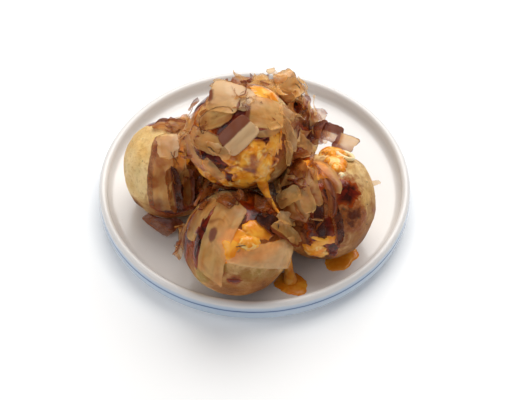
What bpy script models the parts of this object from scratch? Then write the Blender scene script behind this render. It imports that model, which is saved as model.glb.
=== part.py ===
"""Takoyaki on a small round plate: four dough balls in a ring, a fifth resting on
them, and the largest shavings of dried bonito that lie over the pile.

Metres, +Z up. The origin is at the middle of the plate's foot, where it stands.
"""

from math import cos, exp, pi, radians, sin

import bmesh
import bpy
from mathutils import Vector, noise

MM = 0.001

# Plate, a turned stoneware dish with a half-round lip and a foot ring beneath.
PLATE_RADIUS = 70.0 * MM
PLATE_HEIGHT = 14.0 * MM
LIP_THICKNESS = 3.6 * MM
FLOOR_HEIGHT = 7.2 * MM
FLOOR_RADIUS = 62.6 * MM
UNDERSIDE_HEIGHT = 3.2 * MM
HEEL_RADIUS = 3.4 * MM
FOOT_RADIUS = 43.5 * MM
FOOT_WIDTH = 4.0 * MM
FOOT_ROUNDING = 0.5 * MM
PLATE_SEGMENTS = 60
ARC_STEPS = 5

# Balls: centre and radius, with a swelling where one bulges.
BALLS = {
    "ball_left": {"at": (-36.2, -6.0, 28.6), "radius": 21.6, "seed": 3.0},
    "ball_front": {"at": (-7.6, -47.9, 29.5), "radius": 22.5, "seed": 43.3},
    "ball_right": {
        "at": (29.0, -28.8, 29.4),
        "radius": 22.4,
        "seed": 19.0,
        "bulge": {"azimuth": 46.0, "elevation": 31.0, "rise": 2.4, "spread": 0.5},
    },
    "ball_back": {"at": (6.3, 14.2, 29.7), "radius": 22.7, "seed": 27.0},
    "ball_top": {"at": (-5.0, -16.0, 59.6), "radius": 22.5, "seed": 35.0},
}
BALL_RINGS = 18
BALL_SECTORS = 24
BROAD_LUMPS = 0.035
FINE_LUMPS = 0.022
PRESSED_EDGE = 0.8 * MM
CONTACT_GAP = 0.25 * MM

# Bonito shavings. Each lies on a ball, where "azimuth" and "elevation" point out from
# the ball's centre, "spin" turns its length from up towards the right, "layer" says how
# many shavings are under it and "face" turns one that doesn't lie flat on the ball.
FLAKE_THICKNESS = 0.5 * MM
FLAKE_CLEARANCE = 0.85 * MM
LAYER_HEIGHT = 1.0 * MM
FLAKE_CELLS = (5, 3)
FLAKES = {
    "flake_front_wide": {
        "ball": "ball_front", "azimuth": -120, "elevation": 50, "spin": 172,
        "size": (34, 13), "outline": 9, "taper": 0.2,
    },
    "flake_front_sliver": {
        "ball": "ball_front", "azimuth": -172, "elevation": 46, "spin": 128,
        "size": (21, 6), "outline": 2.5,
    },
    "flake_front_cross": {
        "ball": "ball_front", "azimuth": -47, "elevation": 30, "spin": 122,
        "size": (30, 11), "outline": 4, "taper": -0.2,
    },
    "flake_front_ridge": {
        "ball": "ball_front", "azimuth": -12, "elevation": 27, "spin": 165,
        "size": (19, 7), "layer": 1, "outline": 3, "tip_lift": 2.0,
    },
    "flake_front_dark": {
        "ball": "ball_front", "azimuth": -35, "elevation": 56, "spin": 170,
        "size": (9, 7), "outline": 3,
    },
    "flake_left_long": {
        "ball": "ball_left", "azimuth": -100, "elevation": 40, "spin": 180,
        "size": (33, 9.5), "outline": 7,
    },
    "flake_left_fold": {
        "ball": "ball_left", "azimuth": -84, "elevation": 24, "spin": 176,
        "size": (19, 4.5), "layer": 2, "outline": 4, "tip_lift": 1.0,
    },
    "flake_left_inner": {
        "ball": "ball_left", "azimuth": -58, "elevation": 32, "spin": 182,
        "size": (21, 6.5), "outline": 4,
    },
    "flake_left_crown": {
        "ball": "ball_left", "azimuth": 100, "elevation": 72, "spin": -58,
        "size": (11, 8), "outline": 3,
    },
    "flake_left_cap": {
        "ball": "ball_left", "azimuth": -14, "elevation": 62, "spin": -72,
        "size": (15, 8), "outline": 2.4, "layer": 1,
    },
    "flake_plate_dark": {
        "ball": "ball_left", "azimuth": -104, "elevation": -38, "spin": 108, "lift": 1.2,
        "size": (15, 10), "outline": 8, "face": (-110, 52), "bends": (90, 60),
    },
    "flake_plate_curl": {
        "ball": "ball_front", "azimuth": 153, "elevation": -24, "spin": 174, "lift": 3.4,
        "size": (12, 8), "outline": 2.2, "face": (-95, 42), "bends": (40, 7),
    },
    "flake_top_strip": {
        "ball": "ball_top", "azimuth": -93, "elevation": 46, "spin": 42,
        "size": (15, 7.5), "layer": 2, "outline": 6, "tip_lift": 1.0,
    },
    "flake_top_oval": {
        "ball": "ball_top", "azimuth": -141, "elevation": 55, "spin": 48,
        "size": (15, 8), "layer": 1, "outline": 2.2,
    },
    "flake_top_shield": {
        "ball": "ball_top", "azimuth": -30, "elevation": 58, "spin": 135,
        "size": (14.5, 12.5), "layer": 1, "outline": 4,
    },
    "flake_top_cream": {
        "ball": "ball_top", "azimuth": -170, "elevation": 86, "spin": 97,
        "size": (19, 9), "layer": 2, "outline": 3,
    },
    "flake_top_lower_cream": {
        "ball": "ball_top", "azimuth": -165, "elevation": 75, "spin": 42,
        "size": (12, 7.5), "outline": 3,
    },
    "flake_top_side": {
        "ball": "ball_top", "azimuth": -176, "elevation": 44, "spin": 122,
        "size": (8, 5.5), "outline": 4,
    },
    "flake_top_tan": {
        "ball": "ball_top", "azimuth": -136, "elevation": 28, "spin": 66,
        "size": (15, 6), "outline": 3,
    },
    "flake_top_purple": {
        "ball": "ball_top", "azimuth": -134, "elevation": 12, "spin": 62,
        "size": (17, 5.5), "outline": 3,
    },
    "flake_back_tan": {
        "ball": "ball_back", "azimuth": 136, "elevation": 76, "spin": -16, "lift": 1.0,
        "size": (10, 9), "outline": 4,
    },
    "flake_back_pink": {
        "ball": "ball_back", "azimuth": 150, "elevation": 58, "spin": 60, "lift": 3.5,
        "size": (8, 5), "outline": 3, "face": (-95, 60), "bends": (60, 12),
    },
    "flake_back_heap": {
        "ball": "ball_back", "azimuth": 10, "elevation": 70, "spin": 60, "lift": 3.5,
        "size": (13, 9), "outline": 3, "face": (-80, 48), "bends": (14, 22),
    },
    "flake_back_crest": {
        "ball": "ball_back", "azimuth": 62, "elevation": 66, "spin": 80, "lift": 7.0,
        "size": (11, 6), "outline": 3, "face": (-70, 70), "bends": (16, 30),
    },
    "flake_back_red": {
        "ball": "ball_back", "azimuth": -2, "elevation": 52, "spin": 150,
        "size": (8, 7), "outline": 4,
    },
    "flake_side_dark": {
        "ball": "ball_back", "azimuth": -20, "elevation": 24, "spin": 100, "lift": 3.0,
        "size": (9, 6.5), "outline": 4, "face": (-60, 55), "bends": (14, 30),
    },
    "flake_side_fold": {
        "ball": "ball_right", "azimuth": 80, "elevation": 36, "spin": 120, "lift": 8.5,
        "size": (9, 7), "outline": 5, "face": (-75, 55), "bends": (12, 30),
    },
    "flake_side_tan": {
        "ball": "ball_right", "azimuth": 64, "elevation": 38, "spin": 130, "lift": 5.0,
        "size": (11, 8.5), "outline": 8, "face": (-60, 60), "bends": (60, 40),
    },
    "flake_right_brown": {
        "ball": "ball_right", "azimuth": 172, "elevation": 64, "spin": 60,
        "size": (17, 6.5), "outline": 4,
    },
    "flake_right_ribbon": {
        "ball": "ball_right", "azimuth": -80, "elevation": 38, "spin": 170,
        "size": (24, 3.5), "outline": 4,
    },
    "flake_right_beige": {
        "ball": "ball_right", "azimuth": -133, "elevation": 42, "spin": 72,
        "size": (12, 9), "layer": 1, "outline": 5,
    },
}


def vector_mm(values):
    return Vector(values) * MM


def direction(azimuth, elevation):
    azimuth, elevation = radians(azimuth), radians(elevation)
    return Vector((cos(elevation) * cos(azimuth), cos(elevation) * sin(azimuth), sin(elevation)))


def add_object(name, mesh, colour, roughness, coat=0.0):
    """Link the mesh as an object of its own, with a plain material."""
    material = bpy.data.materials.new(name)
    material.use_nodes = True
    shader = material.node_tree.nodes["Principled BSDF"]
    shader.inputs["Base Color"].default_value = (*colour, 1.0)
    shader.inputs["Roughness"].default_value = roughness
    shader.inputs["Metallic"].default_value = 0.0
    shader.inputs["Coat Weight"].default_value = coat
    mesh.materials.append(material)
    obj = bpy.data.objects.new(name, mesh)
    bpy.context.scene.collection.objects.link(obj)
    return obj


def arc(centre, radius, start, end, steps=ARC_STEPS):
    """Points of an arc in the turned section, angles in degrees from the +X side."""
    angles = [radians(start + (end - start) * i / steps) for i in range(steps + 1)]
    return [(centre[0] + radius * cos(a), centre[1] + radius * sin(a)) for a in angles]


def plate_section():
    """The plate's section, from the middle of its floor over the lip to the middle beneath."""
    lip = LIP_THICKNESS / 2
    inner_wall = PLATE_RADIUS - LIP_THICKNESS - 0.2 * MM
    corner = inner_wall - FLOOR_RADIUS
    foot_inner = FOOT_RADIUS - FOOT_WIDTH
    points = [(0.0, FLOOR_HEIGHT)]
    points += arc((FLOOR_RADIUS, FLOOR_HEIGHT + corner), corner, -90, -8, 4)
    points += arc((PLATE_RADIUS - 0.15 * MM - lip, PLATE_HEIGHT - lip), lip, 180, 0, 6)
    points += [(PLATE_RADIUS, PLATE_HEIGHT * 0.55)]
    points += arc(
        (PLATE_RADIUS - HEEL_RADIUS, UNDERSIDE_HEIGHT + HEEL_RADIUS), HEEL_RADIUS, -10, -90, 4
    )
    points += [(FOOT_RADIUS + FOOT_ROUNDING, UNDERSIDE_HEIGHT)]
    points += [(FOOT_RADIUS, FOOT_ROUNDING), (FOOT_RADIUS - FOOT_ROUNDING, 0.0)]
    points += [(foot_inner + FOOT_ROUNDING, 0.0), (foot_inner, FOOT_ROUNDING)]
    points += [(foot_inner - FOOT_ROUNDING, UNDERSIDE_HEIGHT), (0.0, UNDERSIDE_HEIGHT)]
    return points


def make_plate():
    section = plate_section()
    mesh = bpy.data.meshes.new("plate")
    edges = [(i, i + 1) for i in range(len(section) - 1)]
    mesh.from_pydata([(r, 0.0, z) for r, z in section], edges, [])
    plate = add_object("plate", mesh, (0.87, 0.85, 0.83), 0.18, coat=0.4)
    turn = plate.modifiers.new("Turn", "SCREW")
    turn.axis = "Z"
    turn.angle = 2 * pi
    turn.steps = PLATE_SEGMENTS
    turn.render_steps = PLATE_SEGMENTS
    turn.use_merge_vertices = True
    turn.merge_threshold = 0.00001
    turn.use_smooth_shade = True


def ball_reach(ball, outward):
    """How far the dough reaches from the ball's centre in a direction, before it is pressed."""
    seed = Vector((ball["seed"], 0.0, 0.0))
    broad = noise.noise(outward * 1.4 + seed)
    fine = noise.noise(outward * 3.6 - seed)
    reach = ball["radius"] * (1.0 + BROAD_LUMPS * broad + FINE_LUMPS * fine)
    bulge = ball.get("bulge")
    if bulge:
        angle = outward.angle(direction(bulge["azimuth"], bulge["elevation"]))
        reach += bulge["rise"] * exp(-((angle / bulge["spread"]) ** 2))
    return reach * MM


def press(point, normal, limit):
    """Flatten the dough against a plane: nothing goes past limit along the normal."""
    past = point.dot(normal) - (limit - PRESSED_EDGE)
    if past <= 0.0:
        return point
    return point - normal * (past - PRESSED_EDGE * (1.0 - exp(-past / PRESSED_EDGE)))


def pressing_planes(name):
    """The floor and the planes halfway to the balls that this one leans on."""
    ball = BALLS[name]
    centre = vector_mm(ball["at"])
    planes = [(Vector((0.0, 0.0, -1.0)), -(FLOOR_HEIGHT + CONTACT_GAP))]
    for other_name, other in BALLS.items():
        if other_name == name:
            continue
        between = vector_mm(other["at"]) - centre
        share = ball["radius"] / (ball["radius"] + other["radius"])
        middle = centre + between * share
        normal = between.normalized()
        planes.append((normal, middle.dot(normal) - CONTACT_GAP / 2))
    return planes


def make_ball(name):
    ball = BALLS[name]
    centre = vector_mm(ball["at"])
    planes = pressing_planes(name)
    shape = bmesh.new()
    bmesh.ops.create_uvsphere(shape, u_segments=BALL_SECTORS, v_segments=BALL_RINGS, radius=1.0)
    for vertex in shape.verts:
        outward = vertex.co.normalized()
        point = centre + outward * ball_reach(ball, outward)
        for normal, limit in planes:
            point = press(point, normal, limit)
        vertex.co = point - centre
    mesh = bpy.data.meshes.new(name)
    shape.to_mesh(mesh)
    shape.free()
    mesh.shade_smooth()
    add_object(name, mesh, (0.62, 0.42, 0.19), 0.5).location = centre


def keep_clear(point, own_ball, clearance):
    """Move a point of a shaving out of every ball, and off the plate's floor."""
    for name, ball in BALLS.items():
        centre = vector_mm(ball["at"])
        offset = point - centre
        outward = offset.normalized()
        room = clearance if name == own_ball else FLAKE_CLEARANCE
        least = ball_reach(ball, outward) + room
        if offset.length < least:
            point = centre + outward * least
    point.z = max(point.z, FLOOR_HEIGHT + FLAKE_CLEARANCE)
    return point


def make_flake(name):
    flake = FLAKES[name]
    ball = BALLS[flake["ball"]]
    clearance = FLAKE_CLEARANCE + LAYER_HEIGHT * flake.get("layer", 0)
    outward = direction(flake["azimuth"], flake["elevation"])
    height = ball_reach(ball, outward) + clearance + flake.get("lift", 0.0) * MM
    centre = vector_mm(ball["at"]) + outward * height

    face = direction(*flake.get("face", (flake["azimuth"], flake["elevation"])))
    east = Vector((0.0, 0.0, 1.0)).cross(face).normalized()
    north = face.cross(east)
    spin = radians(flake["spin"])
    along = north * cos(spin) + east * sin(spin)
    across = face.cross(along)

    length, width = (size * MM for size in flake["size"])
    lies_on = height / MM
    bend_along, bend_across = (bend * MM for bend in flake.get("bends", (lies_on, lies_on)))
    columns, rows = FLAKE_CELLS
    shape = bmesh.new()
    grid = []
    for i in range(columns + 1):
        u = 2.0 * i / columns - 1.0
        # The ends round off as a superellipse does, but never close to a point.
        side = max((1.0 - abs(u) ** flake["outline"]) ** (1.0 / flake["outline"]), 0.3)
        side *= 1.0 + flake.get("taper", 0.0) * u
        turn = u * length / 2 / bend_along
        lifted = flake.get("tip_lift", 0.0) * MM * max(u, 0.0) ** 2
        row = []
        for j in range(rows + 1):
            roll = (2.0 * j / rows - 1.0) * side * width / 2 / bend_across
            sunk = bend_along * (1.0 - cos(turn)) + bend_across * (1.0 - cos(roll))
            point = centre + along * bend_along * sin(turn) + across * bend_across * sin(roll)
            point = keep_clear(point + face * (lifted - sunk), flake["ball"], clearance)
            row.append(shape.verts.new(point - centre))
        grid.append(row)
    for i in range(columns):
        for j in range(rows):
            shape.faces.new((grid[i][j], grid[i + 1][j], grid[i + 1][j + 1], grid[i][j + 1]))
    mesh = bpy.data.meshes.new(name)
    shape.to_mesh(mesh)
    shape.free()
    mesh.shade_smooth()
    obj = add_object(name, mesh, (0.70, 0.47, 0.28), 0.35)
    obj.location = centre
    skin = obj.modifiers.new("Thickness", "SOLIDIFY")
    skin.thickness = FLAKE_THICKNESS
    skin.offset = 0.0


for old in list(bpy.data.objects):
    bpy.data.objects.remove(old, do_unlink=True)
make_plate()
for ball_name in BALLS:
    make_ball(ball_name)
for flake_name in FLAKES:
    make_flake(flake_name)
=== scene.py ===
import random
from math import cos, exp, pi, radians, sin, sqrt

import bpy
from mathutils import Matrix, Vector, noise


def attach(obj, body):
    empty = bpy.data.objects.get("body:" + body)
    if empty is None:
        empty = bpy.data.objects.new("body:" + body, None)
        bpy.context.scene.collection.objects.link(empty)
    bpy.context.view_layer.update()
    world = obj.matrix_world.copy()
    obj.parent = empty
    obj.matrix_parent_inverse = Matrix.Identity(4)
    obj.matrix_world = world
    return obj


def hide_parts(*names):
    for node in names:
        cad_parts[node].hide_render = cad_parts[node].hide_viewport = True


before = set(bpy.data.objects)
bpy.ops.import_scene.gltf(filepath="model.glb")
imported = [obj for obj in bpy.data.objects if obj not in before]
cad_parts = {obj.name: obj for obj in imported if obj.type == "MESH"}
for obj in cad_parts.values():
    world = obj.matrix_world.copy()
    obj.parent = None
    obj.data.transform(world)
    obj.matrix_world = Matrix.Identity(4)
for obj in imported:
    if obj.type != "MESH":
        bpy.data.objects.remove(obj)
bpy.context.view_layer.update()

# Takoyaki on a small plate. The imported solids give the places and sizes; this script
# lays the fine things over them. Lengths in the dictionaries are millimetres, angles
# are degrees, and an azimuth of -90 is the side nearest to the camera.

mm = 0.001


def toward(azimuth, elevation):
    azimuth, elevation = radians(azimuth), radians(elevation)
    return Vector((cos(elevation) * cos(azimuth), cos(elevation) * sin(azimuth), sin(elevation)))


def inMetres(values):
    return Vector(values) * mm


def smooth(low, high, value):
    t = min(max((value - low) / (high - low), 0.0), 1.0)
    return t * t * (3.0 - 2.0 * t)


def linear(red, green, blue):
    # screen values from 0 to 255 to the shader's linear ones
    def one(value):
        value /= 255.0
        return value / 12.92 if value <= 0.04045 else ((value + 0.055) / 1.055) ** 2.4
    return (one(red), one(green), one(blue), 1.0)


class Finish:
    # a material with the few node helpers that all the finishes here share

    def __init__(self, name, roughness=0.5, **fixed):
        self.material = bpy.data.materials.new(name)
        self.material.use_nodes = True
        self.tree = self.material.node_tree
        self.shader = self.tree.nodes["Principled BSDF"]
        self.shader.inputs["Roughness"].default_value = roughness
        for socket, value in fixed.items():
            self.shader.inputs[socket.replace("_", " ")].default_value = value
        self.places = self.tree.nodes.new("ShaderNodeTexCoord").outputs["Object"]

    def link(self, output, target):
        self.tree.links.new(output, target)

    def noise(self, size, detail=3.0, rough=0.55, distortion=0.0, vector=None):
        # size is the width of one patch, in millimetres
        node = self.tree.nodes.new("ShaderNodeTexNoise")
        node.inputs["Scale"].default_value = 1.0 / (size * mm) if vector is None else 1.0 / size
        node.inputs["Detail"].default_value = detail
        node.inputs["Roughness"].default_value = rough
        node.inputs["Distortion"].default_value = distortion
        self.link(self.places if vector is None else vector, node.inputs["Vector"])
        return node.outputs["Fac"]

    def stretched(self, scale):
        # texture places along the shaving's own length and width
        node = self.tree.nodes.new("ShaderNodeMapping")
        node.inputs["Scale"].default_value = scale
        self.link(self.tree.nodes.new("ShaderNodeTexCoord").outputs["UV"], node.inputs["Vector"])
        return node.outputs["Vector"]

    def steps(self, value, low, high, least=0.0, most=1.0):
        node = self.tree.nodes.new("ShaderNodeMapRange")
        node.interpolation_type = "SMOOTHSTEP"
        node.inputs["From Min"].default_value = low
        node.inputs["From Max"].default_value = high
        node.inputs["To Min"].default_value = least
        node.inputs["To Max"].default_value = most
        self.link(value, node.inputs["Value"])
        return node.outputs["Result"]

    def fill(self, sockets, values):
        for socket, value in zip(sockets, values):
            if isinstance(value, (int, float, tuple)):
                socket.default_value = value
            else:
                self.link(value, socket)

    def maths(self, operation, first, second=0.0):
        node = self.tree.nodes.new("ShaderNodeMath")
        node.operation = operation
        self.fill(node.inputs, (first, second))
        return node.outputs["Value"]

    def times(self, first, second):
        return self.maths("MULTIPLY", first, second)

    def plus(self, first, second):
        return self.maths("ADD", first, second)

    def larger(self, first, second):
        return self.maths("MAXIMUM", first, second)

    def sway(self, value, amount):
        # a noise brought round 0, as wide as the amount
        return self.times(self.maths("SUBTRACT", value, 0.5), amount)

    def mix(self, factor, first, second):
        node = self.tree.nodes.new("ShaderNodeMix")
        node.data_type = "RGBA"
        self.fill((node.inputs[0], node.inputs[6], node.inputs[7]), (factor, first, second))
        return node.outputs[2]

    def tint(self, colour, value, low, high, most, shade):
        # the shade comes over the colour where the value goes from low to high
        return self.mix(self.steps(value, low, high, 0.0, most), colour, linear(*shade))

    def painted(self, name):
        # a value that the mesh carries at its points
        node = self.tree.nodes.new("ShaderNodeAttribute")
        node.attribute_name = name
        return node.outputs["Fac"]

    def colour(self, value):
        self.link(value, self.shader.inputs["Base Color"])

    def rough(self, value):
        self.link(value, self.shader.inputs["Roughness"])

    def bump(self, height, depth, strength=1.0, below=None):
        node = self.tree.nodes.new("ShaderNodeBump")
        node.inputs["Distance"].default_value = depth * mm
        node.inputs["Strength"].default_value = strength
        self.link(height, node.inputs["Height"])
        if below is not None:
            self.link(below, node.inputs["Normal"])
        self.link(node.outputs["Normal"], self.shader.inputs["Normal"])
        return node.outputs["Normal"]

    def seeThrough(self, density, glow, colour):
        # a thin film: part of the light passes straight through, part glows through it
        shown = self.shader.outputs["BSDF"]
        if glow:
            through = self.tree.nodes.new("ShaderNodeBsdfTranslucent")
            blend = self.tree.nodes.new("ShaderNodeMixShader")
            blend.inputs[0].default_value = glow
            self.link(colour, through.inputs["Color"])
            self.link(shown, blend.inputs[1])
            self.link(through.outputs["BSDF"], blend.inputs[2])
            shown = blend.outputs["Shader"]
        clear = self.tree.nodes.new("ShaderNodeBsdfTransparent")
        film = self.tree.nodes.new("ShaderNodeMixShader")
        self.link(density, film.inputs[0])
        self.link(clear.outputs["BSDF"], film.inputs[1])
        self.link(shown, film.inputs[2])
        self.link(film.outputs["Shader"], self.tree.nodes["Material Output"].inputs["Surface"])


def speckled(name, roughness, patch, light, dark, grain):
    # a plain dry finish: two shades in patches and a fine grain
    finish = Finish(name, roughness)
    finish.colour(finish.mix(finish.noise(patch, 2.0), linear(*light), linear(*dark)))
    finish.bump(finish.noise(grain, 2.0), 0.05, 0.5)
    return finish.material


def newPiece(name, points, faces, material, marks=None, places=None, nodes=()):
    # points in metres in the frame's axes, so that the object's own origin stays at 0
    mesh = bpy.data.meshes.new(name)
    mesh.from_pydata(points, [], faces)
    mesh.update()
    mesh.shade_smooth()
    mesh.materials.append(material)
    for mark, values in (marks or {}).items():
        layer = mesh.attributes.new(mark, "FLOAT", "POINT")
        layer.data.foreach_set("value", values)
    if places:
        layer = mesh.uv_layers.new(name="UVMap")
        for loop in mesh.loops:
            layer.data[loop.index].uv = places[loop.vertex_index]
    piece = bpy.data.objects.new(name, mesh)
    bpy.context.scene.collection.objects.link(piece)
    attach(piece, "root")
    if nodes:
        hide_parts(*nodes)
    return piece


class Heap:
    # gathers many small sheets or blobs into one mesh

    def __init__(self, *marks):
        self.points, self.faces, self.places = [], [], []
        self.marks = {mark: [] for mark in marks}

    def add(self, points, faces, places=None, **marks):
        start = len(self.points)
        self.points += points
        self.faces += [tuple(start + index for index in face) for face in faces]
        self.places += places or [(0.0, 0.0)] * len(points)
        for mark, values in self.marks.items():
            given = marks.get(mark, 0.0)
            values += given if isinstance(given, list) else [given] * len(points)

    def make(self, name, material, nodes=()):
        return newPiece(name, self.points, self.faces, material, self.marks, self.places, nodes)


def gridFaces(columns, rows, turned=False):
    # quads between rows of (rows + 1) points; turned closes the last column onto the first
    faces = []
    for i in range(columns):
        following = (i + 1) % columns if turned else i + 1
        for j in range(rows):
            near, far = i * (rows + 1) + j, following * (rows + 1) + j
            faces.append((near, far, far + 1, near + 1))
    return faces


plate = {
    "radius": 70.0,
    "height": 14.0,
    "lipThickness": 3.6,
    "lipInset": 0.15,
    "floorHeight": 7.2,
    "floorRadius": 62.6,
    "undersideHeight": 3.2,
    "heelRadius": 3.4,
    "footRadius": 43.5,
    "footWidth": 4.0,
    "footRounding": 0.5,
    "segments": 160,
    "wobble": 0.12,        # how far the hand-turned wall wanders
    "wobbleStart": (55.0, 4.0),        # radius and height where that begins
    "undersideRings": (54.0, 20.0),
    "lineHeight": 9.7,     # the painted line round the outside
    "lineWidth": 0.62,
    "blueTop": (11.6, 13.4),           # heights between which the pale blue fades out
    "blueFoot": (5.6, 6.6),
    "blueUnder": (5.2, 5.8),
    "bareFoot": (0.3, 0.9),
    "white": [(230, 227, 225), (236, 233, 231)],
    "paleBlue": [(186, 204, 224), (202, 216, 232)],
    "cobalt": [(52, 84, 138), (88, 118, 166)],
}


def glazedStoneware():
    finish = Finish("glazedStoneware", 0.2, IOR=1.5)
    split = finish.tree.nodes.new("ShaderNodeSeparateXYZ")
    finish.link(finish.places, split.inputs["Vector"])
    height = split.outputs["Z"]
    flat = finish.tree.nodes.new("ShaderNodeVectorMath")
    flat.operation = "MULTIPLY"
    flat.inputs[1].default_value = (1.0, 1.0, 0.0)
    finish.link(finish.places, flat.inputs[0])
    length = finish.tree.nodes.new("ShaderNodeVectorMath")
    length.operation = "LENGTH"
    finish.link(flat.outputs["Vector"], length.inputs[0])
    outward = length.outputs["Value"]

    white, paleBlue, cobalt = ([linear(*shade) for shade in plate[name]]
                               for name in ("white", "paleBlue", "cobalt"))
    cloud = finish.noise(26, 2.0)
    speck = finish.noise(0.9, 1.0)
    inside = finish.tint(finish.mix(cloud, *white), speck, 0.74, 0.80, 0.25, (176, 150, 122))
    # the glaze outside is a pale blue, from just under the lip down to the foot
    brushed = finish.times(finish.noise(5, 3.0), 0.9 * mm)
    wall = finish.steps(outward, (plate["radius"] - 1.2) * mm, (plate["radius"] - 0.55) * mm)

    def below(name, value=height):
        low, high = plate[name]
        return finish.steps(value, low * mm, high * mm, 1.0, 0.0)

    outside = finish.times(wall, below("blueTop", finish.plus(height, brushed)))
    outside = finish.larger(outside, finish.times(below("blueFoot"), wall))
    outside = finish.larger(outside, below("blueUnder"))
    colour = finish.mix(outside, inside, finish.mix(cloud, *paleBlue))
    # one brushed line of cobalt, its edges a little soft
    drift = finish.sway(finish.noise(9, 2.0), 0.5 * mm)
    above = finish.maths("SUBTRACT", finish.plus(height, drift), plate["lineHeight"] * mm)
    off = finish.maths("ABSOLUTE", above)
    half = plate["lineWidth"] / 2 * mm
    line = finish.times(finish.steps(off, half * 0.6, half * 1.5, 1.0, 0.0), wall)
    halo = finish.times(finish.steps(off, half, half * 5.0, 0.4, 0.0), wall)
    colour = finish.mix(halo, colour, linear(134, 164, 204))
    colour = finish.mix(line, colour, finish.mix(finish.noise(3, 2.0), *cobalt))
    foot = below("bareFoot")
    finish.colour(finish.mix(foot, colour, linear(206, 188, 164)))
    finish.rough(finish.steps(foot, 0.0, 1.0, 0.17, 0.8))
    finish.bump(finish.noise(7, 2.0), 0.12, 0.5)
    return finish.material


def arc(centre, radius, start, end, steps):
    angles = [radians(start + (end - start) * i / steps) for i in range(steps + 1)]
    return [(centre[0] + radius * cos(a), centre[1] + radius * sin(a)) for a in angles]


def plateSection():
    # from the middle of the floor over the lip to the middle of the underside
    lip = plate["lipThickness"] / 2
    corner = plate["radius"] - plate["lipThickness"] - 0.2 - plate["floorRadius"]
    heel, under = plate["heelRadius"], plate["undersideHeight"]
    footOuter, footInner = plate["footRadius"], plate["footRadius"] - plate["footWidth"]
    rounding = plate["footRounding"]
    section = [(plate["floorRadius"] * i / 12, plate["floorHeight"]) for i in range(12)]
    section += arc((plate["floorRadius"], plate["floorHeight"] + corner), corner, -90, -8, 10)
    section += arc((plate["radius"] - plate["lipInset"] - lip, plate["height"] - lip), lip, 180, 0, 16)
    section += [(plate["radius"], plate["height"] * share) for share in (0.72, 0.62, 0.5)]
    section += arc((plate["radius"] - heel, under + heel), heel, -10, -90, 10)
    section += [(plate["undersideRings"][0], under), (footOuter + rounding, under)]
    section += arc((footOuter - rounding, rounding), rounding, 0, -90, 4)
    section += arc((footInner + rounding, rounding), rounding, -90, -180, 4)
    section += [(footInner - rounding, under), (plate["undersideRings"][1], under)]
    return section


def makePlate():
    section = plateSection()
    points = []
    for i in range(plate["segments"]):
        angle = 2.0 * pi * i / plate["segments"]
        sway = noise.noise(Vector((cos(angle), sin(angle), 0.4)) * 1.3) * plate["wobble"]
        for radius, height in section:
            share = smooth(plate["wobbleStart"][0], plate["radius"], radius)
            lifted = sway * share * smooth(plate["wobbleStart"][1], plate["height"], height)
            points.append(Vector((radius * cos(angle), radius * sin(angle), height + lifted)) * mm)
    rows = len(section)
    faces = gridFaces(plate["segments"], rows - 1, turned=True)
    # the first ring has no radius and the last closes the underside with one face
    faces.append(tuple(i * rows + rows - 1 for i in range(plate["segments"])))
    piece = newPiece("turnedPlate", points, faces, glazedStoneware(), nodes=("plate",))
    piece.data.validate()


balls = {
    "ball_left": {"at": (-36.2, -6.0, 28.6), "radius": 21.6, "seed": 3.0},
    "ball_front": {"at": (-7.6, -47.9, 29.5), "radius": 22.5, "seed": 43.3},
    "ball_right": {
        "at": (29.0, -28.8, 29.4),
        "radius": 22.4,
        "seed": 19.0,
        "bulge": {"azimuth": 46.0, "elevation": 31.0, "rise": 2.4, "spread": 0.5},
    },
    "ball_back": {"at": (6.3, 14.2, 29.7), "radius": 22.7, "seed": 27.0},
    "ball_top": {"at": (-5.0, -16.0, 59.6), "radius": 22.5, "seed": 35.0},
}

dough = {
    "broadLumps": (0.035, 1.4),        # height as a share of the radius, and how close together
    "fineLumps": (0.022, 3.6),
    "wrinkles": (0.0075, 5.5),
    "pores": (0.0028, 17.0),
    "pressedEdge": 0.8,
    "contactGap": 0.12,
    "bottomBrowningAndShade": 0.9,
    "sectors": 190,
    "rings": 120,
}
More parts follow.
